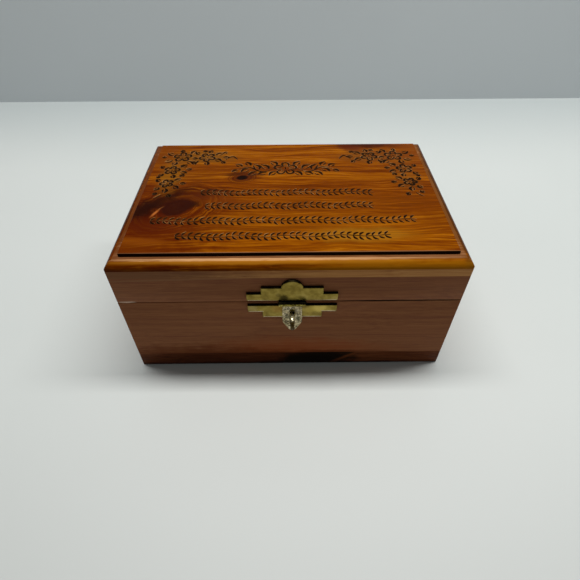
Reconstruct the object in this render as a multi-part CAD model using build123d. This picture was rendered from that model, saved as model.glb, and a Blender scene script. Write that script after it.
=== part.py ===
from build123d import *
import math
import os

# Wooden keepsake box with a hinged lid and a brass hasp, closed. Millimetres.
# The origin is the centre of the underside, +X is to the right, the front faces -Y, +Z is up.

# Case
case_width = 152.0
case_depth = 104.0
case_height = 71.0
wall_thickness = 9.5
bottom_thickness = 9.5
top_thickness = 9.5
lid_height = 23.75  # rails and top board
seam_gap = 0.25
rabbet_lap = 3.5  # what is left of a long wall outside the end of a side wall
corner_radius = 0.6

# Moulded edge of the top board
roundover_radius = 3.5
ledge_width = 1.9
field_step = 1.87
field_easing = 0.25

# Butt hinges at the back of the seam
open_angle = 100.0
axis_inset = 2.2  # hinge axis to the back face
stop_clearance = 0.15  # each stop bevel to the plane through the axis
hinge_from_side = 31.0  # middle of a hinge to the nearer side of the case
hinge_length = 25.0
knuckle_count = 5
knuckle_radius = 1.7
knuckle_side_gap = 0.15
knuckle_clearance = 0.3  # knuckle to the other leaf and to the wood
leaf_thickness = 0.8
leaf_reach = 6.5  # hinge axis to the far edge of a leaf
leaf_side_clearance = 0.1
hinge_pin_radius = 0.75
running_clearance = 0.05
pin_head_radius = 1.15
pin_head_length = 0.4

# Countersunk screws of the hinges
screw_spacing = 14.0
screw_set_back = 4.2  # hinge axis to the line of screws
screw_radius = 0.85
screw_length = 8.5
screw_head_radius = 1.55
screw_head_depth = 0.7
screw_point_length = 2.0
screw_slot_width = 0.4
screw_slot_depth = 0.3
screw_fit = 0.03

# Hasp: the plate on the lid and the plate on the base have the same stepped outline
hasp_offset = 1.1  # the hasp sits a little to the right of the middle
plate_width = 39.6
plate_middle_width = 26.8
plate_dome_width = 9.5
plate_low_height = 4.1
plate_middle_height = 7.7
plate_full_height = 11.7
plate_stand = 1.5  # front of a plate to the wood
plate_sheet = 0.7
plate_edge_chamfer = 0.3
hasp_plate_above_seam = 1.9
staple_plate_below_seam = 1.2
prong_length = 5.0
prong_width = 2.4
prong_tip_width = 0.4

# Hasp hinge
barrel_radius = 1.35
barrel_stand = 2.0  # barrel axis to the wood
barrel_above_seam = 0.63
barrel_length = 11.7
barrel_side_gap = 0.1
barrel_clearance = 0.3
hasp_pin_radius = 0.55
hasp_pin_head_radius = 0.85
hasp_pin_head_length = 0.35

# Slotted tongue
tongue_width = 8.7
tongue_thickness = 0.8
tongue_reach = 17.3  # barrel axis to the tip
tongue_shoulder = 11.8  # barrel axis to where the taper starts
tongue_tip_width = 2.5
tongue_shoulder_radius = 1.6
tongue_tip_radius = 1.1
slot_width = 2.3
slot_clearance = 0.9  # staple to the lower end of the slot
slot_headroom = 2.6  # staple to the upper end of the slot

# Staple
staple_wire_radius = 0.9
staple_bend_radius = 2.7
staple_below_seam = 8.7
staple_straight = 4.8  # wood to where the bend starts
staple_embed = 6.0
staple_fit = 0.03

# Worked out from the values above
lid_bottom = case_height - lid_height
base_height = lid_bottom - seam_gap
lid_rail_top = case_height - top_thickness
seam = base_height + seam_gap / 2
front = -case_depth / 2
hinge_y = case_depth / 2 - axis_inset
pocket_radius = knuckle_radius + knuckle_clearance
hasp_axis_y = front - barrel_stand
hasp_axis_z = seam + barrel_above_seam
staple_z = seam - staple_below_seam
staple_top = staple_z + staple_bend_radius + staple_wire_radius
staple_bottom = staple_z - staple_bend_radius - staple_wire_radius
staple_front = front - staple_straight - staple_bend_radius - staple_wire_radius
overcut = 1.0  # how far a cutting solid runs past the surface that it cuts
on_base = -1
on_lid = 1


def block(x0, x1, y0, y1, z0, z1):
    middle = Pos((x0 + x1) / 2, (y0 + y1) / 2, (z0 + z1) / 2)
    return middle * Box(x1 - x0, y1 - y0, z1 - z0)


def rod_x(radius, x0, x1, y, z):
    return Pos((x0 + x1) / 2, y, z) * Rot(0, 90, 0) * Cylinder(radius, x1 - x0)


def rod_y(radius, x, y0, y1, z):
    return Pos(x, (y0 + y1) / 2, z) * Rot(90, 0, 0) * Cylinder(radius, y1 - y0)


def prism_x(points, x0, x1):
    # A closed outline of (y, z) points, carried from x0 to x1.
    face = make_face(Polyline(*points, close=True))
    return extrude(Plane.YZ.offset(x0) * face, x1 - x0)


def front_plane(y):
    # Sketch plane parallel to the front face, with its normal towards the viewer.
    return Plane(origin=(0, y, 0), x_dir=(1, 0, 0), z_dir=(0, -1, 0))


def case_outline(z0, z1):
    outline = RectangleRounded(case_width, case_depth, corner_radius)
    return Pos(0, 0, z0) * extrude(outline, z1 - z0)


def only_solid(shape):
    solids = shape.solids()
    assert len(solids) == 1, f"expected one solid, found {len(solids)}"
    return solids[0]


# Boards of the case

def long_wall(side, z0, z1):
    # Front (side -1) or back (side +1) board, with a rabbet at each end for a side wall.
    inner = side * (case_depth / 2 - wall_thickness)
    lap = side * (case_depth / 2 - rabbet_lap)
    far = -side * (case_depth / 2 + overcut)
    x_far = case_width / 2 + overcut
    x_inner = case_width / 2 - wall_thickness
    z_low = z0 - overcut
    z_high = z1 + overcut
    wall = case_outline(z0, z1)
    wall -= block(-x_far, x_far, min(inner, far), max(inner, far), z_low, z_high)
    wall -= block(-x_far, -x_inner, min(lap, far), max(lap, far), z_low, z_high)
    wall -= block(x_inner, x_far, min(lap, far), max(lap, far), z_low, z_high)
    return only_solid(wall)


def side_wall(side, z0, z1):
    outer = side * case_width / 2
    inner = side * (case_width / 2 - wall_thickness)
    reach = case_depth / 2 - rabbet_lap
    return block(min(outer, inner), max(outer, inner), -reach, reach, z0, z1)


def roundover_waste(ledge):
    # What a rounding cutter takes off the four top edges, side by side, so that they mitre.
    x_outer = case_width / 2 + overcut
    y_outer = case_depth / 2 + overcut
    x_centre = case_width / 2 - roundover_radius
    y_centre = case_depth / 2 - roundover_radius
    z_centre = ledge - roundover_radius
    top = ledge + overcut
    waste = []
    for side in (-1, 1):
        y = side * y_centre
        strip = block(-x_outer, x_outer, min(y, side * y_outer), max(y, side * y_outer), z_centre, top)
        waste.append(strip - rod_x(roundover_radius, -x_outer - overcut, x_outer + overcut, y, z_centre))
        x = side * x_centre
        strip = block(min(x, side * x_outer), max(x, side * x_outer), -y_outer, y_outer, z_centre, top)
        waste.append(strip - rod_y(roundover_radius, x, -y_outer - overcut, y_outer + overcut, z_centre))
    return waste


def top_board():
    ledge = case_height - field_step
    board = case_outline(lid_rail_top, ledge)
    for strip in roundover_waste(ledge):
        board -= strip
    margin = roundover_radius + ledge_width
    field_x = case_width / 2 - margin
    field_y = case_depth / 2 - margin
    field = block(-field_x, field_x, -field_y, field_y, lid_rail_top, case_height)
    field = fillet(field.faces().sort_by(Axis.Z)[-1].edges(), field_easing)
    return only_solid(board + field)


# Butt hinges. side is on_base or on_lid.

def leaf_seat(side):
    # Height of the wood face that a leaf is let into.
    return base_height if side == on_base else lid_bottom


def knuckle_spans(x, side):
    pitch = hinge_length / knuckle_count
    first = 0 if side == on_base else 1
    spans = []
    for i in range(first, knuckle_count, 2):
        start = x - hinge_length / 2 + i * pitch
        spans.append((start + knuckle_side_gap / 2, start + pitch - knuckle_side_gap / 2))
    return spans


def screw_places(x):
    return [(x + end * screw_spacing / 2, hinge_y - screw_set_back) for end in (-1, 1)]


def screw_blank(x, y, side, extra):
    # Countersunk head, shank and point, all larger by extra, with the head flush with the leaf.
    # It points down into the base or up into the lid.
    shank = screw_radius + extra
    profile = Polyline(
        (0, -extra),
        (screw_head_radius + 2 * extra, -extra),
        (shank, screw_head_depth),
        (shank, screw_length - screw_point_length),
        (0, screw_length + extra),
        close=True,
    )
    turned = revolve(Plane.XZ * make_face(profile), Axis.Z)
    flipped = turned if side == on_lid else Rot(180, 0, 0) * turned
    return Pos(x, y, leaf_seat(side)) * flipped


def screw(x, y, side):
    seat = leaf_seat(side)
    depth = side * screw_slot_depth
    body = screw_blank(x, y, side, 0)
    slot = block(
        x - screw_head_radius, x + screw_head_radius,
        y - screw_slot_width / 2, y + screw_slot_width / 2,
        min(seat, seat + depth), max(seat, seat + depth),
    )
    return only_solid(body - slot)


def hinge_leaf(x, side):
    seat = leaf_seat(side)
    bottom = seat + side * leaf_thickness
    leaf = block(
        x - hinge_length / 2, x + hinge_length / 2,
        hinge_y - leaf_reach, hinge_y,
        min(seat, bottom), max(seat, bottom),
    )
    for start, end in knuckle_spans(x, -side):
        leaf -= rod_x(pocket_radius, start - knuckle_side_gap, end + knuckle_side_gap, hinge_y, seam)
    for start, end in knuckle_spans(x, side):
        leaf += rod_x(knuckle_radius, start, end, hinge_y, seam)
    bore = hinge_pin_radius + running_clearance
    leaf -= rod_x(bore, x - hinge_length, x + hinge_length, hinge_y, seam)
    for place in screw_places(x):
        leaf -= screw_blank(*place, side, screw_fit)
    return only_solid(leaf)


def hinge_pin(x):
    half = hinge_length / 2
    pin = rod_x(hinge_pin_radius, x - half, x + half, hinge_y, seam)
    pin += rod_x(pin_head_radius, x - half - pin_head_length, x - half, hinge_y, seam)
    pin += rod_x(pin_head_radius, x + half, x + half + pin_head_length, hinge_y, seam)
    return only_solid(pin)


def hinge_recess(x, side):
    # Gain for the leaf, round pocket for the knuckles and pilot holes for the screws.
    seat = leaf_seat(side)
    floor = seat + side * leaf_thickness
    open_end = seat - side * overcut
    recess = block(
        x - hinge_length / 2 - leaf_side_clearance, x + hinge_length / 2 + leaf_side_clearance,
        hinge_y - leaf_reach - leaf_side_clearance, hinge_y,
        min(floor, open_end), max(floor, open_end),
    )
    half = hinge_length / 2 + pin_head_length + knuckle_clearance
    recess += rod_x(pocket_radius, x - half, x + half, hinge_y, seam)
    for place in screw_places(x):
        recess += screw_blank(*place, side, screw_fit)
    return recess


def stop_bevel(side):
    # Wood taken off the back edge, so that the two bevels meet when the lid stands open.
    # The bevel leaves the hinge axis at half the opening angle and clears it by stop_clearance.
    half_angle = math.radians(open_angle / 2)
    near = -2 * stop_clearance / math.sin(half_angle)
    far = axis_inset + overcut
    near_rise = (stop_clearance + near * math.sin(half_angle)) / math.cos(half_angle)
    far_rise = (stop_clearance + far * math.sin(half_angle)) / math.cos(half_angle)
    points = [
        (hinge_y + near, seam + side * near_rise),
        (hinge_y + far, seam + side * far_rise),
        (hinge_y + far, seam + side * near_rise),
    ]
    reach = case_width / 2 + overcut
    return prism_x(points, -reach, reach)


hinge_reach = case_width / 2 - hinge_from_side
hinge_places = {"left": -hinge_reach, "right": hinge_reach}


def back_wall(side, z0, z1):
    wall = long_wall(1, z0, z1) - stop_bevel(side)
    for x in hinge_places.values():
        wall -= hinge_recess(x, side)
    return only_solid(wall)


# Hasp. side is on_lid for the plate that stands up and on_base for the one that hangs down.

def plate_edge(side):
    return seam + hasp_plate_above_seam if side == on_lid else seam - staple_plate_below_seam


def plate_outline(side, inset):
    # Three steps from a straight edge, the last one a dome. inset draws every side in.
    edge = plate_edge(side)
    near = edge + side * inset
    outline = None
    dome_radius = plate_dome_width / 2
    dome_centre = plate_full_height - dome_radius
    steps = (
        (plate_width, plate_low_height - inset),
        (plate_middle_width, plate_middle_height - inset),
        (plate_dome_width, dome_centre),
    )
    for width, height in steps:
        far = edge + side * height
        step = Pos(hasp_offset, (near + far) / 2) * Rectangle(width - 2 * inset, abs(far - near))
        outline = step if outline is None else outline + step
    dome = Pos(hasp_offset, edge + side * dome_centre) * Circle(dome_radius - inset)
    return outline + dome


def plate_tray(side):
    # Pressed plate: a skin and a rim of sheet, hollow against the wood.
    full = extrude(front_plane(front) * plate_outline(side, 0), plate_stand)
    full = chamfer(full.faces().sort_by(Axis.Y)[0].edges(), plate_edge_chamfer)
    hollow = extrude(front_plane(front) * plate_outline(side, plate_sheet), plate_stand - plate_sheet)
    return full - hollow


def end_prongs(side):
    # One pointed prong bent back from each end of the plate.
    middle = plate_edge(side) + side * plate_low_height / 2
    points = [
        (front, middle - prong_width / 2),
        (front, middle + prong_width / 2),
        (front + prong_length, middle + prong_tip_width / 2),
        (front + prong_length, middle - prong_tip_width / 2),
    ]
    right = hasp_offset + plate_width / 2
    left = hasp_offset - plate_width / 2
    return [prism_x(points, left, left + plate_sheet), prism_x(points, right - plate_sheet, right)]


def barrel_spans():
    # Side knuckle, tongue knuckle and side knuckle.
    half = barrel_length / 2
    tongue_half = tongue_width / 2
    return {
        "left": (hasp_offset - half, hasp_offset - tongue_half - barrel_side_gap),
        "tongue": (hasp_offset - tongue_half, hasp_offset + tongue_half),
        "right": (hasp_offset + tongue_half + barrel_side_gap, hasp_offset + half),
    }


def hasp_bore():
    radius = hasp_pin_radius + running_clearance
    reach = barrel_length
    return rod_x(radius, hasp_offset - reach, hasp_offset + reach, hasp_axis_y, hasp_axis_z)


def hasp_plate():
    plate = plate_tray(on_lid)
    spans = barrel_spans()
    for side in ("left", "right"):
        start, end = spans[side]
        plate += rod_x(barrel_radius, start, end, hasp_axis_y, hasp_axis_z)
        plate += block(
            start, end,
            front - plate_stand, front - barrel_stand + barrel_radius,
            hasp_axis_z, plate_edge(on_lid) + plate_sheet,
        )
    start, end = spans["tongue"]
    plate -= rod_x(
        barrel_radius + barrel_clearance,
        start - barrel_side_gap, end + barrel_side_gap,
        hasp_axis_y, hasp_axis_z,
    )
    for prong in end_prongs(on_lid):
        plate += prong
    return only_solid(plate - hasp_bore())


def hasp_pin():
    half = barrel_length / 2
    left = hasp_offset - half
    right = hasp_offset + half
    pin = rod_x(hasp_pin_radius, left, right, hasp_axis_y, hasp_axis_z)
    pin += rod_x(hasp_pin_head_radius, left - hasp_pin_head_length, left, hasp_axis_y, hasp_axis_z)
    pin += rod_x(hasp_pin_head_radius, right, right + hasp_pin_head_length, hasp_axis_y, hasp_axis_z)
    return only_solid(pin)


def hasp_tongue():
    half = tongue_width / 2
    tip = tongue_tip_width / 2
    z_tip = hasp_axis_z - tongue_reach
    z_shoulder = hasp_axis_z - tongue_shoulder
    outline = make_face(Polyline(
        (hasp_offset - half, hasp_axis_z),
        (hasp_offset - half, z_shoulder),
        (hasp_offset - tip, z_tip),
        (hasp_offset + tip, z_tip),
        (hasp_offset + half, z_shoulder),
        (hasp_offset + half, hasp_axis_z),
        close=True,
    ))
    outline = fillet(outline.vertices().group_by(Axis.Y)[1], tongue_shoulder_radius)
    outline = fillet(outline.vertices().group_by(Axis.Y)[0], tongue_tip_radius)
    slot_top = staple_top + slot_headroom
    slot_bottom = staple_bottom - slot_clearance
    slot = Pos(hasp_offset, (slot_top + slot_bottom) / 2) * Rot(0, 0, 90) * SlotOverall(
        slot_top - slot_bottom, slot_width
    )
    back = hasp_axis_y + tongue_thickness / 2
    tongue = extrude(front_plane(back) * (outline - slot), tongue_thickness)
    start, end = barrel_spans()["tongue"]
    tongue += rod_x(barrel_radius, start, end, hasp_axis_y, hasp_axis_z)
    return only_solid(tongue - hasp_bore())


def staple_shape(extra):
    # Loop of round wire standing in the upright plane, with two legs driven into the wall.
    radius = staple_wire_radius + extra
    bend_y = front - staple_straight
    section = Plane(
        origin=(hasp_offset, bend_y, staple_z + staple_bend_radius), x_dir=(1, 0, 0), z_dir=(0, -1, 0)
    ) * Circle(radius)
    bend_axis = Axis((hasp_offset, bend_y, staple_z), (1, 0, 0))
    loop = revolve(section, bend_axis, 180)
    for way in (-1, 1):
        z = staple_z + way * staple_bend_radius
        loop += rod_y(radius, hasp_offset, bend_y, front + staple_embed + extra, z)
    return loop


def staple_plate():
    plate = plate_tray(on_base)
    for prong in end_prongs(on_base):
        plate += prong
    return only_solid(plate - staple_shape(staple_fit))


def base_front_wall():
    wall = long_wall(-1, bottom_thickness, base_height) - staple_shape(staple_fit)
    for prong in end_prongs(on_base):
        wall -= prong
    return only_solid(wall)


def lid_front_rail():
    rail = long_wall(-1, lid_bottom, lid_rail_top)
    for prong in end_prongs(on_lid):
        rail -= prong
    return only_solid(rail)


nodes = {
    "bottom_board": only_solid(case_outline(0, bottom_thickness)),
    "base_front_wall": base_front_wall(),
    "base_back_wall": back_wall(on_base, bottom_thickness, base_height),
    "base_left_wall": side_wall(-1, bottom_thickness, base_height),
    "base_right_wall": side_wall(1, bottom_thickness, base_height),
    "lid_top_board": top_board(),
    "lid_front_rail": lid_front_rail(),
    "lid_back_rail": back_wall(on_lid, lid_bottom, lid_rail_top),
    "lid_left_rail": side_wall(-1, lid_bottom, lid_rail_top),
    "lid_right_rail": side_wall(1, lid_bottom, lid_rail_top),
    "hasp_plate": hasp_plate(),
    "hasp_pin": hasp_pin(),
    "hasp_tongue": hasp_tongue(),
    "staple_plate": staple_plate(),
    "staple": only_solid(staple_shape(0)),
}
for side_name, hinge_x in hinge_places.items():
    nodes[f"{side_name}_hinge_base_leaf"] = hinge_leaf(hinge_x, on_base)
    nodes[f"{side_name}_hinge_lid_leaf"] = hinge_leaf(hinge_x, on_lid)
    nodes[f"{side_name}_hinge_pin"] = hinge_pin(hinge_x)
for owner, side in (("base", on_base), ("lid", on_lid)):
    screws = [screw(*place, side) for x in hinge_places.values() for place in screw_places(x)]
    nodes[f"hinge_screws_{owner}"] = Compound(children=screws)

os.makedirs("parts", exist_ok=True)
for name, shape in nodes.items():
    export_step(shape, f"parts/{name}.step")
    print(name, [round(length, 2) for length in shape.bounding_box().size])

print("hinge axis: y", round(hinge_y, 3), "z", round(seam, 3))
print("hasp axis: x", hasp_offset, "y", round(hasp_axis_y, 3), "z", round(hasp_axis_z, 3))
print("staple: z", round(staple_z, 3), "reaches y", round(staple_front, 3))
print("base inside: z", bottom_thickness, "to", base_height, "lid inside: z", lid_bottom, "to", lid_rail_top)
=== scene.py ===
# A hinged keepsake box of red cedar with a stamped brass hasp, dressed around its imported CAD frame.
# Lengths are in millimetres and turned to metres with mm; those of the table, wall and lamp are in metres.
import cmath
import math
import random
import bmesh
import bpy
from mathutils import Matrix, Vector


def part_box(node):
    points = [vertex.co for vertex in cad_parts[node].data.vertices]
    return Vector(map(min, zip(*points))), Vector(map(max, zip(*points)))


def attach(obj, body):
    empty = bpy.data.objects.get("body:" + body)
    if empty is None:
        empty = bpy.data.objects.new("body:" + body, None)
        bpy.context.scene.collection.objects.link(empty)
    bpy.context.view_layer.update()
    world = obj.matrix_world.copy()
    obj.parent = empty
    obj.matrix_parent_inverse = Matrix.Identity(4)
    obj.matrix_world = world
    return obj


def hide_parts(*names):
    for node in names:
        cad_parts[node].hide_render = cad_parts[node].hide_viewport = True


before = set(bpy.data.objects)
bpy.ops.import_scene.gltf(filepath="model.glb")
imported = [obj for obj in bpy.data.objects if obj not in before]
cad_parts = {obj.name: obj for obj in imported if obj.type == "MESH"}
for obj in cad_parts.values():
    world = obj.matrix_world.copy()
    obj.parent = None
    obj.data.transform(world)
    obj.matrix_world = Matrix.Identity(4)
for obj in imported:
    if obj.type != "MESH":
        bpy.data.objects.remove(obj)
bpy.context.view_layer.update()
mm = 0.001

# The camera: a hand-held phone 18 cm in front of the box's middle and 18 cm above the table.
# It looks down at 45 degrees through a short lens; its place was fitted to the box's own corners.
camera_place = Vector((-0.522, -180.155, 184.474)) * mm
camera_turn = math.radians(0.305)
camera_tilt = math.radians(45.46)
camera_roll = math.radians(-0.294)
camera_data = bpy.data.cameras.new("camera")
camera_data.lens = 26.43
camera_data.sensor_width = 36
camera_data.clip_start = 0.01
camera_data.clip_end = 20
camera = bpy.data.objects.new("camera", camera_data)
bpy.context.scene.collection.objects.link(camera)
camera.matrix_world = (
    Matrix.Translation(camera_place)
    @ Matrix.Rotation(-camera_turn, 4, "Z")
    @ Matrix.Rotation(math.pi / 2 - camera_tilt, 4, "X")
    @ Matrix.Rotation(camera_roll, 4, "Z")
)
bpy.context.scene.camera = camera
bpy.context.scene.view_settings.view_transform = "Standard"


# The stage: a pale grey laminate table in front of a painted wall, which are no part of the box.
# The table is matt and slightly uneven; the wall stands 29 cm behind the middle of the box.
def tint(code):
    """A six-digit sRGB colour as linear light, with full opacity."""
    parts = [int(code[i:i + 2], 16) / 255 for i in (0, 2, 4)]
    return [p / 12.92 if p <= 0.04045 else ((p + 0.055) / 1.055) ** 2.4 for p in parts] + [1.0]


def add(tree, kind, values=(), stops=None, **settings):
    """Adds a node with its settings, input values or links, and ramp colours. Gives its outputs."""
    node = tree.nodes.new(kind)
    for key, value in settings.items():
        setattr(node, key, value)
    for key, value in values.items() if isinstance(values, dict) else enumerate(values):
        if isinstance(value, bpy.types.NodeSocket):
            tree.links.new(value, node.inputs[key])
        elif value is not None:
            node.inputs[key].default_value = value
    if stops:
        ramp = node.color_ramp
        while len(ramp.elements) < len(stops):
            ramp.elements.new(0.5)
        for element, (place, code) in zip(ramp.elements, stops):
            element.position = place
            element.color = tint(code)
    return node.outputs


def new_material(name):
    """An empty node material and its tree."""
    material = bpy.data.materials.new(name)
    material.use_nodes = True
    material.node_tree.nodes.clear()
    return material, material.node_tree


def stage_sheet(name, low, high, material):
    """A flat sheet of the stage between two corners."""
    bm = bmesh.new()
    bmesh.ops.create_grid(bm, x_segments=1, y_segments=1, size=0.5)
    low = Vector(low)
    high = Vector(high)
    size = high - low
    if size.y == 0:
        bmesh.ops.rotate(bm, verts=bm.verts, matrix=Matrix.Rotation(math.pi / 2, 3, "X"))
    bmesh.ops.scale(bm, verts=bm.verts, vec=[s or 1 for s in size])
    bmesh.ops.translate(bm, verts=bm.verts, vec=(low + high) / 2)
    mesh = bpy.data.meshes.new(name)
    bm.to_mesh(mesh)
    bm.free()
    mesh.materials.append(material)
    sheet = bpy.data.objects.new(name, mesh)
    bpy.context.scene.collection.objects.link(sheet)


# A Mix node's two colour inputs and its colour output.
mix_a = 6
mix_b = 7
mix_out = 2


def matt_surface(name, pale, deep, roughness, ends=()):
    """Table laminate or wall paint, which mirrors nothing: one colour with slow, faint clouds in it.

    Toward an end in Y the colour changes softly: (where that starts, where it is full, colour), in metres.
    """
    clouds_per_metre = 3.0
    material, tree = new_material(name)
    place = add(tree, "ShaderNodeTexCoord")["Object"]
    cloud = add(tree, "ShaderNodeTexNoise", {"Vector": place, "Scale": clouds_per_metre, "Detail": 3.0})[0]
    colour = add(tree, "ShaderNodeValToRGB", [cloud], stops=[(0.3, deep), (0.7, pale)])[0]
    depth = add(tree, "ShaderNodeSeparateXYZ", [place])["Y"]
    for start, full, code in ends:
        mask = add(tree, "ShaderNodeMapRange", [depth, start, full, 0.0, 1.0],
                   interpolation_type="SMOOTHSTEP")[0]
        colour = add(tree, "ShaderNodeMix", {"Factor": mask, mix_a: colour, mix_b: tint(code)},
                     data_type="RGBA")[mix_out]
    shade = add(tree, "ShaderNodeBsdfPrincipled", {"Base Color": colour, "Roughness": roughness})[0]
    add(tree, "ShaderNodeOutputMaterial", [shade])
    return material


# The table lies a twentieth of a millimetre under the box, and darkens a little toward both of its ends;
# toward the wall this is painted shade from the wall.
stage_side = 1.5
table_near_edge = -1.5
table_far_edge = 290 * mm
table_level = -0.00005
wall_foot = -0.3
wall_head = 0.5
table_ends = [(0.13, 0.30, "b4bbbb"), (-0.05, -0.17, "bec2c0")]
table_top = matt_surface("grey_laminate_table", "ccd0ce", "c6cbc9", 0.5, table_ends)
wall_paint = matt_surface("painted_wall", "cad0d3", "c4cacd", 0.8)
stage_sheet("table", (-stage_side, table_near_edge, table_level), (stage_side, table_far_edge, table_level),
            table_top)
stage_sheet("wall", (-stage_side, table_far_edge, wall_foot), (stage_side, table_far_edge, wall_head),
            wall_paint)

# A long ceiling lamp hangs nearly above the box, a little behind it and to its right.
lamp_data = bpy.data.lights.new("ceiling_strip", "AREA")
lamp_data.shape = "RECTANGLE"
lamp_data.size = 1.3
lamp_data.size_y = 0.15
lamp_data.energy = 11.6
lamp_data.color = (1.0, 0.99, 0.97)
lamp = bpy.data.objects.new("ceiling_strip", lamp_data)
lamp.location = (0.16, 0.1, 0.95)
bpy.context.scene.collection.objects.link(lamp)

# The rest of the room gives a dim, even grey light.
world = bpy.data.worlds.new("room")
world.use_nodes = True
world.node_tree.nodes.clear()
room = add(world.node_tree, "ShaderNodeBackground", {"Color": tint("e0e3e2"), "Strength": 0.19})[0]
add(world.node_tree, "ShaderNodeOutputWorld", [room])
bpy.context.scene.world = world


# The bottom board: one 9.5 mm board of red cedar, which the walls stand on.
# It is glued under the walls; its front edge shows darker than they do, nearly black in the middle.
# Its lacquer has gone amber with age, and so has the light that it mirrors.
amber = "ffc06a"
lacquer_ior = 1.5


def cedar(name, shades, along="X", pith=(0, -40), start=(0, 0, 0), ring=0.3, fibre=0.4, knots=(), stains=(),
          roughness=0.5, gloss=0.08, bump=0.25):
    """Eastern red cedar, sanded, and lacquered or left bare: growth rings cut lengthwise, knots and stains.

    The grain is solid, so that an end shows the rings' arcs. pith is where the log's heart lies in the
    board's cross section, in mm, ring is how many rings there are to a millimetre, and fibre is how much of
    the tone comes from the fibres. A knot is (x, y, half length, half width, turn, how far the grain bends,
    colour), and a stain is (middle, half sizes, turn, softness, strength, colour), both in mm and degrees.
    """
    material, tree = new_material(name)
    place = add(tree, "ShaderNodeTexCoord")["Object"]
    turn = 0 if along == "X" else -math.pi / 2
    in_mm = (1000, 1000, 1000)
    board = add(tree, "ShaderNodeMapping", {"Vector": place, "Rotation": (0, 0, turn), "Scale": in_mm})[0]
    # The outlines of knots and stains wander a little every 5 mm.
    wander_per_mm = 0.2
    ruffle = add(tree, "ShaderNodeTexNoise",
                 {"Vector": board, "Scale": wander_per_mm, "Detail": 3.0})["Color"]
    ruffle = add(tree, "ShaderNodeVectorMath", [ruffle, (0.5, 0.5, 0.5)], operation="SUBTRACT")[0]
    shifted = add(tree, "ShaderNodeVectorMath", [board, start], operation="ADD")[0]
    axes = add(tree, "ShaderNodeSeparateXYZ", [shifted])
    # The grain parts round each knot as water does round a stone. A knot goes right through the board.
    through = 1e5
    knot_wander = 0.5
    across = axes["Y"]
    round_knots = []
    for x, y, length, width, angle, hug, code in knots:
        uneven = add(tree, "ShaderNodeVectorMath",
                     [ruffle, (knot_wander * length, knot_wander * width, 0), board],
                     operation="MULTIPLY_ADD")[0]
        local = add(tree, "ShaderNodeMapping",
                    [uneven, (x, y, 0), (0, 0, math.radians(angle)), (length, width, through)],
                    vector_type="TEXTURE")[0]
        reach = add(tree, "ShaderNodeVectorMath", [local], operation="LENGTH")["Value"]
        round_knots.append((reach, code))
        square = add(tree, "ShaderNodeMath", [reach, reach], operation="MULTIPLY")[0]
        outside = add(tree, "ShaderNodeMath", [square, 1.0], operation="MAXIMUM")[0]
        away = add(tree, "ShaderNodeMath", [axes["Y"], y], operation="SUBTRACT")[0]
        hugged = add(tree, "ShaderNodeMath", [away, hug], operation="MULTIPLY")[0]
        push = add(tree, "ShaderNodeMath", [hugged, outside], operation="DIVIDE")[0]
        across = add(tree, "ShaderNodeMath", [across, push], operation="SUBTRACT")[0]
    # The trunk is never quite straight: the rings sway a few millimetres over a hand's width.
    sway_length = 60
    sway_width = 24
    sway_reach = 6.0
    slow = add(tree, "ShaderNodeMapping",
               {"Vector": shifted, "Scale": (1 / sway_length, 1 / sway_width, 1 / sway_width)})[0]
    sway = add(tree, "ShaderNodeTexNoise", {"Vector": slow, "Scale": 1.0, "Detail": 2.0})[0]
    sway = add(tree, "ShaderNodeMath", [sway, 2 * sway_reach, -sway_reach], operation="MULTIPLY_ADD")[0]
    swayed = add(tree, "ShaderNodeMath", [across, sway], operation="ADD")[0]
    from_pith = add(tree, "ShaderNodeCombineXYZ", [0.0, swayed, axes["Z"]])[0]
    from_pith = add(tree, "ShaderNodeVectorMath", [from_pith, (0, pith[0], pith[1])],
                    operation="SUBTRACT")[0]
    radius = add(tree, "ShaderNodeVectorMath", [from_pith], operation="LENGTH")["Value"]
    rings = add(tree, "ShaderNodeTexNoise", {"W": radius, "Scale": ring, "Detail": 4.0, "Roughness": 0.72},
                noise_dimensions="1D")[0]
    # Fibres run along the board, drawn 26 mm long and 1 mm thick, as real ones are too fine to show.
    fibre_length = 26
    fibres_per_mm = 1.05
    flow = add(tree, "ShaderNodeCombineXYZ", [axes["X"], swayed, axes["Z"]])[0]
    thin = add(tree, "ShaderNodeMapping",
               {"Vector": flow, "Scale": (1 / fibre_length, fibres_per_mm, fibres_per_mm)})[0]
    fibres = add(tree, "ShaderNodeTexNoise",
                 {"Vector": thin, "Scale": 1.0, "Detail": 4.0, "Roughness": 0.7})[0]
    tone = add(tree, "ShaderNodeMix", {"Factor": fibre, "A": rings, "B": fibres})[0]
    # Close round a knot the rings go round it too. Sizes are in multiples of the knot's own.
    hoops_per_knot = 3.4
    hoops_end = 3.5
    hoops_full = 1.7
    hoops_strength = 0.85
    for reach, code in round_knots:
        hoops = add(tree, "ShaderNodeTexNoise",
                    {"W": reach, "Scale": hoops_per_knot, "Detail": 3.0, "Roughness": 0.6},
                    noise_dimensions="1D")[0]
        hoops = add(tree, "ShaderNodeMapRange", [hoops, 0.34, 0.66, 0.16, 0.66])[0]
        close = add(tree, "ShaderNodeMapRange", [reach, hoops_end, hoops_full, 0.0, hoops_strength],
                    interpolation_type="SMOOTHSTEP")[0]
        tone = add(tree, "ShaderNodeMix", {"Factor": close, "A": tone, "B": hoops})[0]
    places = [0.36, 0.44, 0.50, 0.56, 0.64]
    colour = add(tree, "ShaderNodeValToRGB", [tone], stops=list(zip(places, shades)))[0]
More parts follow.
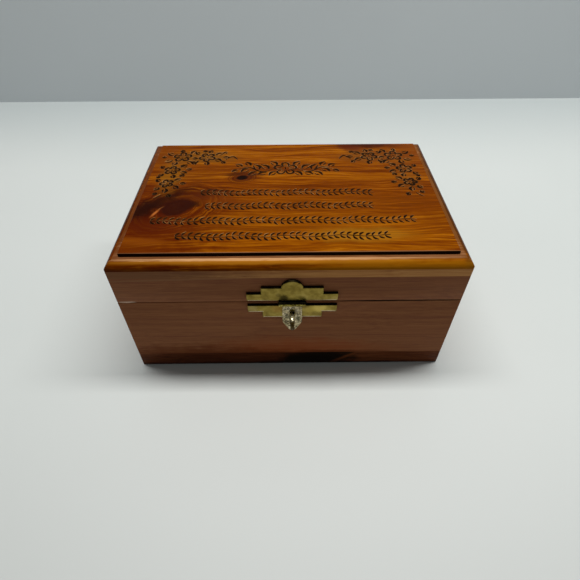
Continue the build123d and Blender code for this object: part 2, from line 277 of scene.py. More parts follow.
    # A stain frays along the fibres, and so does the rim of a knot's heart.
    fray_reach = 0.6
    stain_wander = 1.6
    fray = add(tree, "ShaderNodeMath", [fibres, 2 * fray_reach, -fray_reach], operation="MULTIPLY_ADD")[0]
    for middle, half, angles, soft, strength, code in stains:
        span = min(half)
        uneven = add(tree, "ShaderNodeVectorMath", [ruffle, (stain_wander * span, span, span), board],
                     operation="MULTIPLY_ADD")[0]
        local = add(tree, "ShaderNodeMapping", [uneven, middle, [math.radians(a) for a in angles], half],
                    vector_type="TEXTURE")[0]
        reach = add(tree, "ShaderNodeVectorMath", [local], operation="LENGTH")["Value"]
        reach = add(tree, "ShaderNodeMath", [reach, fray], operation="ADD")[0]
        mask = add(tree, "ShaderNodeMapRange", [reach, 1 + soft, 1 - soft, 0.0, strength],
                   interpolation_type="SMOOTHSTEP")[0]
        colour = add(tree, "ShaderNodeMix", {"Factor": mask, mix_a: colour, mix_b: tint(code)},
                     data_type="RGBA")[mix_out]
    heart_fray = 0.6
    heart_end = 1.16
    heart_full = 0.76
    heart_strength = 0.96
    for reach, code in round_knots:
        frayed = add(tree, "ShaderNodeMath", [fray, heart_fray, reach], operation="MULTIPLY_ADD")[0]
        heart = add(tree, "ShaderNodeMapRange", [frayed, heart_end, heart_full, 0.0, heart_strength],
                    interpolation_type="SMOOTHSTEP")[0]
        colour = add(tree, "ShaderNodeMix", {"Factor": heart, mix_a: colour, mix_b: tint(code)},
                     data_type="RGBA")[mix_out]
    # The finish is a little duller where the fibres are open, and they stand up by under a tenth of a mm.
    duller = 0.06
    fibre_height = 0.08 * mm
    rough = add(tree, "ShaderNodeMapRange", [fibres, 0.3, 0.7, roughness - duller, roughness + duller])[0]
    relief = add(tree, "ShaderNodeBump", {"Strength": bump, "Distance": fibre_height, "Height": tone})[0]
    shade = add(tree, "ShaderNodeBsdfPrincipled", {
        "Base Color": colour, "Roughness": rough, "IOR": lacquer_ior, "Normal": relief,
        "Specular IOR Level": gloss, "Specular Tint": tint(amber)})[0]
    add(tree, "ShaderNodeOutputMaterial", [shade])
    return material


def copy_of(node):
    """A CAD node's own shape as a bmesh, with its triangles joined and its flat faces made whole."""
    weld_reach = 1e-6
    flat_angle = math.radians(0.5)
    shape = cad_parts[node].data.copy()
    if "custom_normal" in shape.attributes:
        shape.attributes.remove(shape.attributes["custom_normal"])
    bm = bmesh.new()
    bm.from_mesh(shape)
    bpy.data.meshes.remove(shape)
    bmesh.ops.remove_doubles(bm, verts=bm.verts, dist=weld_reach)
    bmesh.ops.dissolve_limit(bm, angle_limit=flat_angle, verts=bm.verts, edges=bm.edges)
    return bm


def near(value, level):
    """Whether a place is on a level that is given in mm."""
    play = 0.03
    return abs(value - level * mm) < play * mm


def ease(bm, width, chosen, segments=2):
    """Sands the edges whose two ends are both chosen, if they turn by more than half a radian."""
    least_turn = 0.5
    edges = []
    for edge in bm.edges:
        if all(chosen(v.co) for v in edge.verts) and edge.calc_face_angle(0) > least_turn:
            edges.append(edge)
    bmesh.ops.bevel(bm, geom=edges, offset=width * mm, segments=segments, affect="EDGES", profile=0.5,
                    material=-1)


def make_piece(bm, name, body, nodes, materials, smooth=35):
    """The object of a finished shape, which stands for CAD nodes and moves with their body."""
    for face in bm.faces:
        face.smooth = True
    mesh = bpy.data.meshes.new(name)
    bm.to_mesh(mesh)
    bm.free()
    mesh.set_sharp_from_angle(angle=math.radians(smooth))
    for material in materials:
        mesh.materials.append(material)
    piece = bpy.data.objects.new(name, mesh)
    bpy.context.scene.collection.objects.link(piece)
    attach(piece, body)
    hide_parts(*nodes)


case_half_width = 76.0
case_half_depth = 52.0
inner_half_width = 66.5
inner_half_depth = 42.5
bottom_top = 9.5


def on_outside(co):
    """Whether a corner is on the outside of the case."""
    skin = 0.7
    return abs(co.x) > (case_half_width - skin) * mm or abs(co.y) > (case_half_depth - skin) * mm


def on_inside(co):
    """Whether a corner or a face is within the case's inner walls or on them."""
    play = 0.05
    within_x = abs(co.x) < (inner_half_width + play) * mm
    within_y = abs(co.y) < (inner_half_depth + play) * mm
    return within_x and within_y


def line_inside(bm, low, high):
    """Gives the faces that look into the box their own material, which is the second one."""
    for face in bm.faces:
        co = face.calc_center_median()
        if on_inside(co) and low * mm < co.z < high * mm:
            face.material_index = 1


# Bare cedar inside, planed and never lacquered: pale, dry and without a sheen.
raw_shades = ["8a563c", "a06a4c", "b07c5a", "bc8a66", "c89a74"]
raw_cedar = cedar("raw_red_cedar", raw_shades, start=(7, 3, 5), pith=(12, -30), roughness=0.72)

# Lacquered cedar in a deep brown, nearly black over part of its middle, with painted contact shade along
# its foot where it meets the table.
board_shades = ["3c180a", "50240f", "603018", "6c3c22", "7a482c"]
bottom_stains_and_contact_shade = [
    ((-26, -52, 4), (46, 12, 12), (0, 0, 0), 0.4, 0.6, "36140a"),
    ((14, -52, 4), (20, 12, 9), (0, -8, 0), 0.35, 0.97, "080402"),
    ((29, -52, 6), (9, 12, 1.0), (0, -33, 0), 0.6, 0.7, "6e3a1c"),
    # Painted contact shade along the board's foot, where it meets the table.
    ((0, -52, -0.3), (90, 12, 2.0), (0, 0, 0), 0.5, 0.7, "140804"),
]
bottom_cedar = cedar("lacquered_red_cedar_bottom", board_shades, start=(31, 0, 0), pith=(20, -25),
                     stains=bottom_stains_and_contact_shade)
bm = copy_of("bottom_board")
ease(bm, 0.6, lambda co: near(co.z, 0) and on_outside(co))
floor_play = 0.1
line_inside(bm, bottom_top - floor_play, bottom_top + floor_play)
make_piece(bm, "bottom_board_sanded", "base", ["bottom_board"], [bottom_cedar, raw_cedar])

# The four walls of the base: red cedar boards, rabbeted and glued, sanded flush and lacquered satin.
# The long walls cover the ends of the short ones, so the sides show a strip of their end grain.
base_top = 47.0
wall_ease = 0.25

# Bare cedar again, with the run of the side boards' grain.
raw_side_cedar = cedar("raw_red_cedar_side", raw_shades, "Y", start=(14, 2, -6), pith=(-40, 60),
                       roughness=0.72)

# Satin lacquer: it deepens the wood to a reddish brown and gives it a faint, wide sheen.
wall_shades = ["7c4a33", "835136", "895638", "8e5b3b", "94613f"]
front_stains_and_painted_light = [
    ((-34, -52, 7), (48, 12, 8), (0, 2, 0), 0.6, 0.7, "5c2404"),
    ((6, -52, 14), (32, 12, 6), (0, 3, 0), 0.7, 0.45, "9c4416"),
    ((20, -52, 9.5), (26, 12, 1.8), (0, 0, 0), 0.6, 0.6, "501e08"),
    # Painted shade: a dark line in the seam's gap, right of the hasp.
    ((48, -52, 47.1), (30, 0.8, 0.4), (0, 0, 0), 0.3, 0.95, "1c0a04"),
    ((-71.8, -52, 47.4), (3.6, 0.6, 0.36), (0, 0, 0), 0.3, 1.0, "ecd0b8"),
    ((0, -52, 55), (90, 12, 6), (0, 0, 0), 0.6, 0.2, "5a3420"),
    # Painted highlight: a pale line along the joint just under the top board.
    ((-46, -52, 60.9), (32, 0.8, 0.5), (0, -1.5, 0), 0.5, 0.5, "8e6846"),
]
front_cedar = cedar("lacquered_red_cedar_front", wall_shades, start=(3, 9, 4), pith=(-24, -46), fibre=0.6,
                    stains=front_stains_and_painted_light)
back_cedar = cedar("lacquered_red_cedar_back", wall_shades, start=(-60, 5, 11), pith=(30, -50))
side_cedar = cedar("lacquered_red_cedar_side", wall_shades, "Y", start=(14, 2, -6), pith=(-40, 60))
for node, wall_cedar, lining in [("base_front_wall", front_cedar, raw_cedar),
                                 ("base_back_wall", back_cedar, raw_cedar),
                                 ("base_left_wall", side_cedar, raw_side_cedar),
                                 ("base_right_wall", side_cedar, raw_side_cedar)]:
    bm = copy_of(node)
    ease(bm, wall_ease, lambda co: near(co.z, base_top) and (on_outside(co) or on_inside(co)))
    line_inside(bm, bottom_top, base_top)
    make_piece(bm, node + "_sanded", "base", [node], [wall_cedar, lining])

# The four rails of the lid: the same boards as the walls, sawn off the closed box after it was glued up.
# So their grain runs on from the walls across the seam.
lid_bottom = 47.25
rail_top = 61.5
for node, rail_cedar, lining in [("lid_front_rail", front_cedar, raw_cedar),
                                 ("lid_back_rail", back_cedar, raw_cedar),
                                 ("lid_left_rail", side_cedar, raw_side_cedar),
                                 ("lid_right_rail", side_cedar, raw_side_cedar)]:
    bm = copy_of(node)
    ease(bm, wall_ease, lambda co: near(co.z, lid_bottom) and (on_outside(co) or on_inside(co)))
    line_inside(bm, lid_bottom, rail_top)
    make_piece(bm, node + "_sanded", "lid", [node], [rail_cedar, lining])

# The top board: a flat-sawn cedar board with a round-over, a narrow ledge and a raised field.
# Its decoration is burnt in with V-shaped grooves: a swag in the middle, a spray in each back corner and
# four laurel garlands. The whole is then lacquered, and its edges rubbed down.
field_top = 71.0
field_ease = 0.3
ledge_level = 69.13
sawn_edge_top = 65.6

# Glossy lacquer gone amber: it deepens the field to orange brown, and mirrors the lamp softly.
top_shades = ["501f00", "652c00", "783b00", "894a01", "9e5e08"]
top_knots = [
    (-52.0, -14.4, 8.6, 6.4, 38, 0.9, "2c0c04"),
    (-23.4, 11.4, 2.8, 2.0, 10, 1.0, "100604"),
]
top_stains_and_highlights = [
    ((-72, -32, 66), (36, 38, 60), (0, 0, 0), 0.7, 0.7, "4a1000"),
    ((-65, -25.5, 66), (10, 6.5, 60), (0, 0, -6), 0.7, 0.7, "3c0a00"),
    ((6, -25, 66), (52, 6, 60), (0, 0, 0), 0.7, 0.3, "5c2800"),
    ((-2, 20, 66), (28, 6, 60), (0, 0, 0), 0.7, 0.3, "5c2800"),
    ((-61.0, -9.8, 66), (18, 4.6, 60), (0, 0, 42), 0.7, 0.92, "260a02"),
    ((-46.2, -12.4, 66), (5.0, 2.8, 60), (0, 0, 34), 0.5, 0.92, "140502"),
    ((-67.5, -16, 66), (8, 5.6, 60), (0, 0, 42), 0.7, 0.92, "220802"),
    ((-40, -4, 66), (10, 5, 60), (0, 0, 20), 0.6, 0.85, "421804"),
    ((-32, -9, 66), (11, 4.4, 60), (0, 0, -16), 0.7, 0.65, "5c2404"),
    ((-57, -30, 66), (17, 4.5, 60), (0, 0, -6), 0.6, 0.6, "501a02"),
    ((-65, -39, 66), (12, 2.2, 60), (0, 0, -4), 0.6, 0.45, "8c4a0a"),
    ((-61.0, -18.6, 66), (2.8, 0.7, 60), (0, 0, 66), 0.6, 0.85, "a85e28"),
    ((-59.0, -14.6, 66), (1.8, 0.35, 60), (0, 0, 48), 0.5, 0.7, "b06a30"),
    ((-22.6, 12.4, 66), (7.6, 4.6, 60), (0, 0, 8), 0.6, 0.8, "441804"),
    ((-28.4, 14.6, 66), (4.6, 1.2, 60), (0, 0, 14), 0.6, 0.6, "2c1004"),
    ((44, 46.5, 66), (19, 4.8, 60), (0, 0, -4), 0.5, 0.9, "300a02"),
    ((34, 42, 66), (7, 3.8, 60), (0, 0, -50), 0.6, 0.7, "4a1a08"),
    ((44, 37, 66), (13, 3.6, 60), (0, 0, -30), 0.7, 0.6, "561e06"),
    ((45, 10, 66), (26, 10, 60), (0, 0, 6), 0.8, 0.25, "642c00"),
    ((-45, 15, 66), (13, 6, 60), (0, 0, 10), 0.8, 0.5, "5c2800"),
    ((-47, 32.5, 66), (18, 6.4, 60), (0, 0, 0), 0.5, 0.6, "6e4812"),
    ((-60, 16, 66), (5.5, 16, 60), (0, 0, 0), 0.5, 0.4, "7a5412"),
    ((47, 32.5, 66), (18, 6.4, 60), (0, 0, 0), 0.5, 0.6, "683c10"),
    ((60, 16, 66), (5.5, 16, 60), (0, 0, 0), 0.5, 0.3, "6e4412"),
    ((16, -10, 66), (50, 7, 60), (0, 0, 0), 0.7, 0.15, "9a5604"),
    ((22, -30, 66), (46, 7, 60), (0, 0, 0), 0.8, 0.18, "a86206"),
    ((30, -35.5, 66), (20, 4.5, 60), (0, 0, 0), 0.6, 0.35, "a87a1c"),
    ((-68, 37, 66), (12, 14, 60), (0, 0, 0), 0.8, 0.8, "642c00"),
    ((-68, -44, 66), (10, 6, 60), (0, 0, 0), 0.8, 0.4, "642c00"),
    ((66, 35, 66), (14, 14, 60), (0, 0, 0), 0.8, 0.7, "6a3004"),
    ((69, -20, 66), (9, 10, 60), (0, 0, 0), 0.8, 0.6, "642c00"),
    ((-76, -52, 66.5), (32, 4.5, 3), (0, 0, 0), 0.5, 0.25, "401604"),
    # Painted highlights: a golden band along the front round-over's upper part, and a pale line where it
    # meets the ledge.
    ((-12, -50.0, 68.7), (62, 1.1, 0.9), (0, 0, 0), 0.5, 0.55, "b4761c"),
    ((-8, -48.9, 69.1), (60, 0.6, 0.6), (0, 0, 0), 0.5, 0.8, "d8a470"),
    ((-76, 4, 67.6), (3.2, 64, 2.6), (0, 0, 0), 0.4, 0.85, "46220c"),
    ((75, 0, 68.4), (4, 66, 3.4), (0, 0, 0), 0.4, 0.9, "462810"),
    ((58, -52, 66.3), (46, 4.5, 3), (0, 0, 0), 0.35, 0.6, "a4680c"),
]
top_cedar = cedar("lacquered_red_cedar_top", top_shades, pith=(-6, -34), ring=0.34, fibre=0.66,
                  knots=top_knots, stains=top_stains_and_highlights, roughness=0.24, gloss=0.02, bump=0.05)

# Lacquer rubbed thin on the ledge and on the field's front edge, so that the paler wood shows; that edge's
# pale is partly a painted highlight, and a pale painted highlight line runs along the ledge's front edge.
ledge_shades = ["6c4222", "7c5030", "8c5e3a", "9a6a44", "a67650"]
ledge_stains_and_highlight = [
    ((-74, -1, 69), (4.2, 59, 5), (0, 0, 0), 0.3, 0.94, "5c2c0a"),
    ((74, -1, 69), (4.2, 59, 5), (0, 0, 0), 0.3, 0.9, "683c14"),
    ((0, 50, 69), (80, 4.2, 5), (0, 0, 0), 0.2, 0.97, "4c2408"),
    ((-64, -48, 69), (44, 5, 5), (0, 0, 0), 0.5, 0.5, "6c4024"),
    # Painted highlight: a pale line along the front ledge's outer edge.
    ((-8, -48.6, 69), (60, 0.5, 5), (0, 0, 0), 0.5, 0.7, "d8a470"),
]
ledge_cedar = cedar("rubbed_red_cedar_ledge_with_highlight", ledge_shades, stains=ledge_stains_and_highlight, roughness=0.36, gloss=0.02)

# The step's upright faces are near black: painted shade in the step's corner, which looks like a dark line.
step_shades = ["0a0504", "120907", "1a0d0a", "22120d", "2c1810"]
step_painted_shade = cedar("painted_shade_red_cedar_step", step_shades, roughness=0.6)

# The board's sawn edge under the round-over: paler and duller than the top.
edge_shades = ["946038", "a26c3e", "ae7644", "b8824c", "c28c56"]
edge_stains = [((-76, -52, 64), (58, 12, 12), (0, 0, 0), 0.6, 0.85, "6c4430")]
edge_cedar = cedar("sawn_red_cedar_edge", edge_shades, stains=edge_stains)


def burnt_cedar():
    """Red cedar scorched by the graver: char at the bottom of a groove, paler toasted wood at its rim."""
    char_per_metre = 300.0
    wobble_reach = 0.5 * mm
    # The wobble lifts a height by a quarter of a millimetre on average, and these levels allow for it.
    char_top = (field_top + 0.04) * mm
    rim_top = (field_top + 0.27) * mm
    material, tree = new_material("burnt_red_cedar")
    place = add(tree, "ShaderNodeTexCoord")["Object"]
    height = add(tree, "ShaderNodeSeparateXYZ", [place])["Z"]
    patch = add(tree, "ShaderNodeTexNoise", {"Vector": place, "Scale": char_per_metre, "Detail": 4.0})[0]
    wobble = add(tree, "ShaderNodeMath", [patch, wobble_reach, height], operation="MULTIPLY_ADD")[0]
    depth = add(tree, "ShaderNodeMapRange", [wobble, char_top, rim_top, 0.0, 1.0])[0]
    colour = add(tree, "ShaderNodeValToRGB", [depth],
                 stops=[(0.0, "180904"), (0.42, "2e150a"), (0.72, "6a3f1c"), (0.94, "b8864e")])[0]
    shade = add(tree, "ShaderNodeBsdfPrincipled", {
        "Base Color": colour, "Roughness": 0.55, "IOR": lacquer_ior, "Specular IOR Level": 0.2,
        "Specular Tint": tint(amber)})[0]
    add(tree, "ShaderNodeOutputMaterial", [shade])
    return material


burnt = burnt_cedar()


def new_cuts(name):
    """A set of cuts of the graver: rods with a square section that stands on its corner."""
    cuts = bpy.data.curves.new(name, "CURVE")
    cuts.dimensions = "3D"
    cuts.bevel_depth = 1.0
    cuts.bevel_resolution = 0
    cuts.use_fill_caps = True
    cuts.twist_mode = "Z_UP"
    return cuts


def cut(cuts, path, width, at=0, size=1.0, turn=0.0, flip=False, steps=3, even=False):
    """One cut along a smooth line, widest in its middle unless it is even; its points are complex, in mm.

    The rod's middle runs a little above the field, and its lower half cuts the groove.
    """
    rise = 0.1
    tip = 0.35
    line = cuts.splines.new("NURBS")
    line.points.add(len(path) - 1)
    for i, p in enumerate(path):
        p = complex(p) * size * cmath.exp(1j * math.radians(turn))
        p = at + (complex(-p.real, p.imag) if flip else p)
        swell = 1 if even else tip + (1 - tip) * math.sin(math.pi * i / (len(path) - 1))
        line.points[i].co = (p.real * mm, p.imag * mm, (field_top + rise) * mm, 1)
        line.points[i].radius = (width / 2 * swell + rise) * mm
    line.order_u = 3
    line.use_endpoint_u = True
    line.resolution_u = steps


def blossom(cuts, at, size, turn=0.0, flip=False):
    """A blossom of five petals, each drawn by one bent cut and a short one inside it, round a deep eye."""
    eye = [-0.7, 0, 0.7]
    petal = [1.2 + 0.6j, 2.3 + 1.4j, 4.0 + 1.0j, 4.0 - 1.0j, 2.3 - 1.4j, 1.2 - 0.6j]
    vein = [1.4, 2.0 + 0.1j, 2.8]
    petals = 5
    cut(cuts, eye, 1.5, at, size, turn, flip)
    for k in range(petals):
        angle = turn + 360 / petals * k
        cut(cuts, petal, 1.5, at, size, angle, flip)
        cut(cuts, vein, 1.1, at, size, angle, flip)


def leaf(cuts, at, turn, size, flip=False):
    """A pointed leaf: one broad swelling cut along its back and a thinner one under it."""
    back = [0.1j, 1.1 + 1.2j, 2.7 + 1.1j, 4.2]
    under = [0.7 - 0.6j, 1.6 - 1.0j, 2.7 - 0.8j, 3.5 - 0.5j]
    cut(cuts, back, 1.9, at, size, turn, flip)
    cut(cuts, under, 1.1, at, size, turn, flip)


def side_of(x, y, flip):
    """A place on the left half of the field, or its mirror image on the right."""
    return complex(-x if flip else x, y)


def spray(cuts, flip):
    """A trailing spray that fills a back corner: a long arm toward the middle and one toward the front."""
    for x, y, size, turn in [(-57.0, 33.2, 1.15, 20), (-43.6, 32.6, 1.05, 50), (-60.2, 19.4, 0.95, 10),
                             (-60.6, 6.6, 0.8, 40)]:
        blossom(cuts, side_of(x, y, flip), size, turn, flip)
    for x, y, turn, size in [
            (-62.0, 35.6, 150, 1.0), (-62.0, 30.0, 205, 1.0), (-57.4, 38.2, 100, 0.7),
            (-52.6, 36.6, 60, 0.95), (-51.8, 31.6, -15, 0.8), (-53.8, 28.4, -45, 1.1),
            (-59.6, 28.2, -110, 1.0), (-48.2, 36.0, 130, 0.8), (-42.6, 37.2, 75, 0.8),
            (-39.0, 34.8, 35, 1.1), (-39.4, 30.4, -30, 1.1), (-43.6, 27.8, -80, 0.9),
            (-48.2, 29.2, -140, 0.9), (-35.0, 32.2, -5, 0.9), (-64.6, 21.4, 130, 0.7),
            (-56.0, 22.0, 40, 1.0), (-55.8, 17.4, -20, 0.95), (-64.4, 16.0, 235, 0.8),
            (-59.4, 14.6, -70, 0.8), (-64.2, 8.4, 130, 0.75), (-57.0, 8.8, 35, 0.9),
            (-57.2, 4.2, -40, 0.95), (-63.8, 3.2, 235, 0.8), (-60.6, 2.0, -85, 0.95),
            (-65.6, 33.4, 185, 0.6), (-55.6, 25.0, -95, 0.6), (-50.6, 27.4, -60, 0.7),
            (-46.6, 38.6, 20, 0.65), (-35.4, 36.4, 40, 0.7), (-35.6, 28.0, -50, 0.7),
            (-53.0, 19.8, 5, 0.75), (-54.6, 12.6, 60, 0.7), (-64.8, 12.4, 160, 0.55),
            (-54.0, 6.2, 0, 0.7), (-58.6, -3.2, -60, 0.7), (-64.2, -1.4, -120, 0.6)]:
        leaf(cuts, side_of(x, y, flip), turn, size, flip)
    for tendril, width in [([(-33.6, 29.8), (-31.4, 33.4), (-28.8, 33.4), (-27.2, 30.0)], 1.5),
                           ([(-61.6, -3.0), (-62.4, -5.0), (-64.6, -6.4)], 1.4)]:
        cut(cuts, [side_of(x, y, flip) for x, y in tendril], width)


def garland(cuts, x0, x1, y, seed):
    """A laurel garland: a gently waving stem with pairs of leaves, and a berry after every second pair."""
    rng = random.Random(seed)
    wave_height = 0.5
    wave_length = 22
    wave = 2 * math.pi / wave_length
    leaf_spacing = 2.75
    leaf_foot = 0.5
    berry_forward = 0.45
    berry_away = 2.1
    count = round((x1 - x0) / leaf_spacing)
    step = (x1 - x0) / count
    stem = [complex(x0 + step * k, y + wave_height * math.sin(wave * step * k)) for k in range(count + 1)]
    cut(cuts, stem, 0.6, even=True)
    for k in range(count):
        slope = math.degrees(math.atan(wave_height * wave * math.cos(wave * step * k)))
        for side in (-1, 1):
            turn = slope + side * rng.uniform(42, 54)
            at = stem[k] + cmath.rect(leaf_foot, math.radians(turn))
            blade = [0, 0.8 + 0.42j * side, 1.9 + 0.35j * side, 2.9]
            cut(cuts, blade, 1.4, at, rng.uniform(0.92, 1.08), turn, steps=2)
        if k % 2:
            at = stem[k] + complex(step * berry_forward, berry_away if k % 4 == 1 else -berry_away)
            cut(cuts, [-0.3, 0, 0.3], 0.9, at, 1.0, 90, steps=2)


swag_middle = complex(-1.5, 20.3)


def swag(cuts, flip):
    """Half of the middle swag: a leafy stem that runs out sideways from the blossom."""
    stem = [(6.4, 0), (9.6, -3.4), (13.6, -3.0), (17.0, 0.6), (20.6, 2.4), (24.6, -0.6)]
    cut(cuts, [swag_middle + side_of(x, y, flip) for x, y in stem], 1.15)
    for x, y, turn, size in [(4.6, 3.4, 52, 1.25), (5.0, -3.2, -48, 1.2), (8.8, -0.6, 48, 1.5),
                             (9.6, -4.0, -25, 1.2), (13.8, -0.8, 62, 1.45), (14.6, -3.4, -38, 1.3),
                             (18.6, 3.0, 58, 1.1), (18.8, 0.2, -42, 1.3), (22.6, 2.2, 30, 1.0),
                             (24.4, -1.4, -30, 0.9)]:
        leaf(cuts, swag_middle + side_of(x, y, flip), turn, size, flip)


cuts = new_cuts("engraving")
for flip in (False, True):
    spray(cuts, flip)
    swag(cuts, flip)
blossom(cuts, swag_middle, 1.45, 90)
for x0, x1, y, seed in [(-42.5, 41, -2.2, 1), (-39, 39.6, -13.4, 2),
                        (-62, 57, -24.8, 3), (-49, 43.5, -36.0, 4)]:
    garland(cuts, x0, x1, y, seed)
cuts_object = bpy.data.objects.new("engraving", cuts)
bpy.context.scene.collection.objects.link(cuts_object)
depsgraph = bpy.context.evaluated_depsgraph_get()
cuts_mesh = bpy.data.meshes.new_from_object(cuts_object.evaluated_get(depsgraph))
bpy.data.objects.remove(cuts_object)
rod_weld_reach = 1e-7
bm = bmesh.new()
bm.from_mesh(cuts_mesh)
bmesh.ops.remove_doubles(bm, verts=bm.verts, dist=rod_weld_reach)
bm.to_mesh(cuts_mesh)
bm.free()
cuts_mesh.materials.clear()
cuts_mesh.materials.append(burnt)
graver = bpy.data.objects.new("graver", cuts_mesh)
bpy.context.scene.collection.objects.link(graver)

finishes = [top_cedar, raw_cedar, ledge_cedar, step_painted_shade, edge_cedar]
field_edge = (field_top - field_ease) * mm
bm = copy_of("lid_top_board")
ease(bm, field_ease, lambda co: near(co.z, field_top), segments=1)
for face in bm.faces:
    co = face.calc_center_median()
    upright = abs(face.normal.z) < 0.1
    finish = top_cedar
    if near(co.z, ledge_level) or (co.z > field_edge and face.normal.y < -0.3):
        finish = ledge_cedar
    elif ledge_level * mm < co.z < field_edge and upright:
        finish = step_painted_shade
    elif face.normal.z < -0.9 and on_inside(co):
        finish = raw_cedar
    elif co.z < sawn_edge_top * mm and upright:
        finish = edge_cedar
    face.material_index = finishes.index(finish)
mesh = bpy.data.meshes.new("top_board_plain")
bm.to_mesh(mesh)
bm.free()
for finish in finishes:
    mesh.materials.append(finish)
plain = bpy.data.objects.new("top_board_plain", mesh)
bpy.context.scene.collection.objects.link(plain)
carve = plain.modifiers.new("carve", "BOOLEAN")
carve.object = graver
carve.operation = "DIFFERENCE"
carve.solver = "EXACT"
carve.use_self = True
carve.material_mode = "TRANSFER"
depsgraph = bpy.context.evaluated_depsgraph_get()
carved = bpy.data.meshes.new_from_object(plain.evaluated_get(depsgraph))
bpy.data.objects.remove(plain)
bpy.data.objects.remove(graver)
bm = bmesh.new()
bm.from_mesh(carved)
make_piece(bm, "lid_top_board_engraved", "lid", ["lid_top_board"], list(carved.materials))


# The two butt hinges: pressed brass leaves folded round a pin, let into the back wall and the back rail.
# Each leaf is held by two slotted countersunk screws; the leaves have dulled to a warm satin brown.
def brass(name, shades, roughness, speckle, metallic=1.0, grit=1.4, rare=0.62, spots=()):
    """Sheet brass or plated steel that has tarnished: clouds, dark specks of grit, pale and dark spots,
    some of them painted highlights.

    grit is how many specks there are to a millimetre, fewer and larger than real ones so that they show.
    rare is how few of them are dark, and speckle how dark. A spot is (x, y, z, reach, strength, colour).
    """
    clouds_per_metre = 260.0
    material, tree = new_material(name)
    place = add(tree, "ShaderNodeTexCoord")["Object"]
    patch = add(tree, "ShaderNodeTexNoise",
                {"Vector": place, "Scale": clouds_per_metre, "Detail": 4.0, "Roughness": 0.6})[0]
    places = [0.32, 0.45, 0.56, 0.7]
    colour = add(tree, "ShaderNodeValToRGB", [patch], stops=list(zip(places, shades)))[0]
    grain = add(tree, "ShaderNodeTexNoise",
                {"Vector": place, "Scale": grit / mm, "Detail": 3.0, "Roughness": 0.7})[0]
    specks = add(tree, "ShaderNodeMapRange", [grain, rare, rare + 0.1, 0.0, speckle])[0]
    colour = add(tree, "ShaderNodeMix", {"Factor": specks, mix_a: colour, mix_b: tint("1c1710")},
                 data_type="RGBA")[mix_out]
    # The rim of a spot is as uneven as the grit.
    rim_wander = 0.8
    spot_rim = 0.6
    for x, y, z, reach, strength, code in spots:
        away = add(tree, "ShaderNodeVectorMath", [place, (x * mm, y * mm, z * mm)],
                   operation="DISTANCE")["Value"]
        away = add(tree, "ShaderNodeMath", [grain, -rim_wander * reach * mm, away],
                   operation="MULTIPLY_ADD")[0]
        mask = add(tree, "ShaderNodeMapRange", [away, spot_rim * reach * mm, 0.0, 0.0, strength],
                   interpolation_type="SMOOTHSTEP")[0]
        colour = add(tree, "ShaderNodeMix", {"Factor": mask, mix_a: colour, mix_b: tint(code)},
                     data_type="RGBA")[mix_out]
    grit_height = 0.05 * mm
    rough = add(tree, "ShaderNodeMapRange", [patch, 0.3, 0.7, roughness + 0.1, roughness - 0.08])[0]
    relief = add(tree, "ShaderNodeBump", {"Strength": 0.15, "Distance": grit_height, "Height": grain})[0]
    shade = add(tree, "ShaderNodeBsdfPrincipled", {
        "Base Color": colour, "Metallic": metallic, "Roughness": rough, "Normal": relief})[0]
    add(tree, "ShaderNodeOutputMaterial", [shade])
    return material


# Pressed leaves dull to a warm brown satin; the turned pins and screws keep a little more shine.
leaf_brass = brass("dulled_sheet_brass", ["6a5630", "8c7440", "a08850", "b49c62"], 0.38, 0.4)
pin_brass = brass("turned_brass_pin", ["80683a", "a08850", "b89e62", "c8b078"], 0.3, 0.2)
for node, body in [("left_hinge_base_leaf", "base"), ("right_hinge_base_leaf", "base"),
                   ("left_hinge_lid_leaf", "lid"), ("right_hinge_lid_leaf", "lid"),
                   ("left_hinge_pin", "base"), ("right_hinge_pin", "base"),
                   ("hinge_screws_base", "base"), ("hinge_screws_lid", "lid")]:
    finish = leaf_brass if "leaf" in node else pin_brass
    make_piece(copy_of(node), node + "_brass", body, [node], [finish])

# The hasp: two stepped plates stamped from sheet brass, one above and one below the seam, each with a flat
# face and folded sides, pressed into the wood on prongs. The tongue's pin is peened over at both ends.
hasp_middle = 1.1
barrel_y = -54.0
barrel_z = 47.755
barrel_reach = 1.6
plate_front = -53.5
plate_spots_and_painted_highlights = [
    (hasp_middle - 3.6, plate_front, 50.8, 2.6, 0.8, "2a220e"),
    (hasp_middle - 6.0, plate_front, 52.6, 1.6, 0.4, "2a220e"),
    (hasp_middle - 6.4, plate_front, 44.4, 4.0, 0.6, "a4803c"),
    (hasp_middle + 6.0, plate_front, 45.4, 2.4, 0.5, "4a3c1a"),
    # Painted highlight: a bright golden streak on the lower plate's right side.
    (hasp_middle + 12.0, plate_front, 44.8, 4.4, 0.8, "ccb45e"),
    (hasp_middle + 8.0, plate_front, 43.2, 3.2, 0.6, "b8a04c"),
    (hasp_middle - 17.6, plate_front, 44.2, 3.0, 0.4, "b09c68"),
    (hasp_middle + 18.4, plate_front, 49.6, 2.6, 0.5, "b8a060"),
]

# The flat faces have an antique finish, a dull olive gold. What looks upward and the top of the barrel are
# painted black as shade, the rest of the barrel is speckled, and the sides that look down are rubbed pale
# and carry a painted highlight.
plate_brass = brass("antique_sheet_brass", ["7c6a2c", "8a7634", "96823c", "a6904a"], 0.42, 0.3, grit=2.0,
                    spots=plate_spots_and_painted_highlights)
black_brass_painted_shade = brass("black_sheet_brass_for_painted_shade", ["0c0a06", "14110a", "1c180e", "262012"], 0.55, 0.5)
dark_brass = brass("speckled_rolled_brass", ["6a5c22", "94823a", "b8a650", "dcc86c"], 0.45, 0.97, grit=2.0,
                   rare=0.48)
# Rims that look down are rubbed pale, and their pale is partly a painted highlight from the bright table
# below.
rim_brass_rubbed_and_lit = brass("rubbed_sheet_brass_with_painted_highlight", ["c0ac80", "d2be92", "e0cea4", "ecdeba"], 0.35, 0.15, metallic=0.2)


def near_barrel(co):
    """Whether a corner or a face is on the barrel that the tongue turns on."""
    return math.hypot(co.y - barrel_y * mm, co.z - barrel_z * mm) < barrel_reach * mm


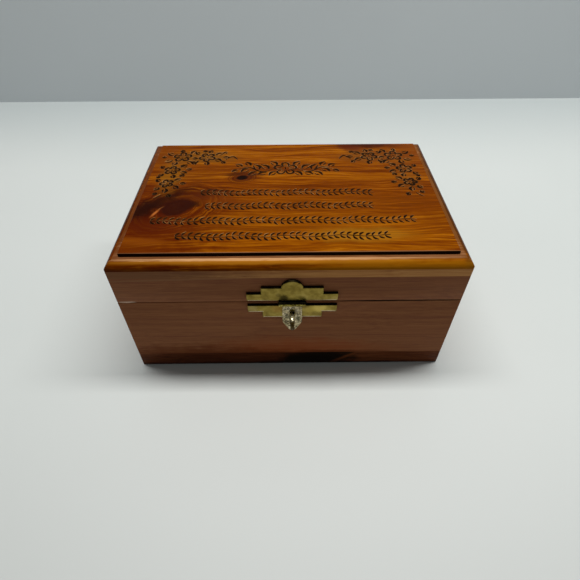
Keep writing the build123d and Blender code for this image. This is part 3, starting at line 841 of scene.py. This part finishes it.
finishes = [plate_brass, black_brass_painted_shade, rim_brass_rubbed_and_lit, dark_brass]
for node, body in [("hasp_plate", "lid"), ("staple_plate", "base")]:
    bm = copy_of(node)
    ease(bm, 0.4, lambda co: near(co.y, plate_front) and not near_barrel(co), segments=3)
    for face in bm.faces:
        normal = face.normal
        finish = plate_brass
        # Faces that look up and the barrel's top take the black of the painted shade; down-facing rims take
        # a pale partly painted highlight.
        if near_barrel(face.calc_center_median()):
            finish = black_brass_painted_shade if normal.z > 0.5 else dark_brass
        elif normal.z > 0.4:
            finish = black_brass_painted_shade
        elif normal.y < -0.3 and normal.z < -0.15:
            finish = rim_brass_rubbed_and_lit
        face.material_index = finishes.index(finish)
    make_piece(bm, node + "_stamped", body, [node], finishes, smooth=50)
# The pin takes the same black as the painted shade.
make_piece(copy_of("hasp_pin"), "hasp_pin_peened", "lid", ["hasp_pin"], [black_brass_painted_shade])

# The staple: brass wire bent to a ring, whose two legs go through the lower plate into the front wall.
# The wire has gone a smooth dark brown, and the top of its bend carries a bright painted highlight.
painted_highlight_spot = (hasp_middle, -56.8, 42.8, 3.0, 1.0, "fff4cc")
wire_brass = brass("bent_brass_wire", ["2c200a", "42300c", "584416", "6c5424"], 0.25, 0.3, metallic=0.8,
                   spots=[painted_highlight_spot])
make_piece(copy_of("staple"), "staple_bent", "base", ["staple"], [wire_brass])

# The tongue: a slotted strap of plated steel that swings on the upper plate's barrel and drops over the
# staple. Its end is rolled into an eye round the pin, whose top is painted black as shade, like the
# barrel's.
tongue_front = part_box("hasp_tongue")[0][1] / mm
tongue_spots = [
    (hasp_middle - 2.5, tongue_front, 39.6, 2.2, 0.7, "4a4830"),
    (hasp_middle + 2.7, tongue_front, 38.4, 2.4, 0.7, "4a4830"),
    (hasp_middle - 2.0, tongue_front, 45.0, 1.8, 0.6, "3c3824"),
    (hasp_middle + 2.4, tongue_front, 43.6, 1.6, 0.5, "e0d6bc"),
]
# The plating has worn to a pale satin grey with dark pits, and its edges are rubbed nearly white.
worn_metal = brass("worn_plated_steel", ["9a8a66", "b8a880", "d2c29c", "ecdebc"], 0.42, 0.84, grit=1.7,
                   rare=0.46, spots=tongue_spots)
rubbed_metal = brass("rubbed_plated_steel", ["cfc4a4", "e2d8ba", "eee4ca", "f8f0dc"], 0.35, 0.3,
                     metallic=0.1)
finishes = [worn_metal, black_brass_painted_shade, dark_brass, rubbed_metal]
bm = copy_of("hasp_tongue")
ease(bm, 0.45, lambda co: near(co.y, tongue_front) and not near_barrel(co), segments=1)
for face in bm.faces:
    finish = worn_metal
    # The eye's top takes the black of the painted shade.
    if near_barrel(face.calc_center_median()):
        finish = black_brass_painted_shade if face.normal.z > 0.5 else dark_brass
    elif -0.95 < face.normal.y < -0.3:
        finish = rubbed_metal
    face.material_index = finishes.index(finish)
make_piece(bm, "hasp_tongue_worn", "hasp_tongue", ["hasp_tongue"], finishes)
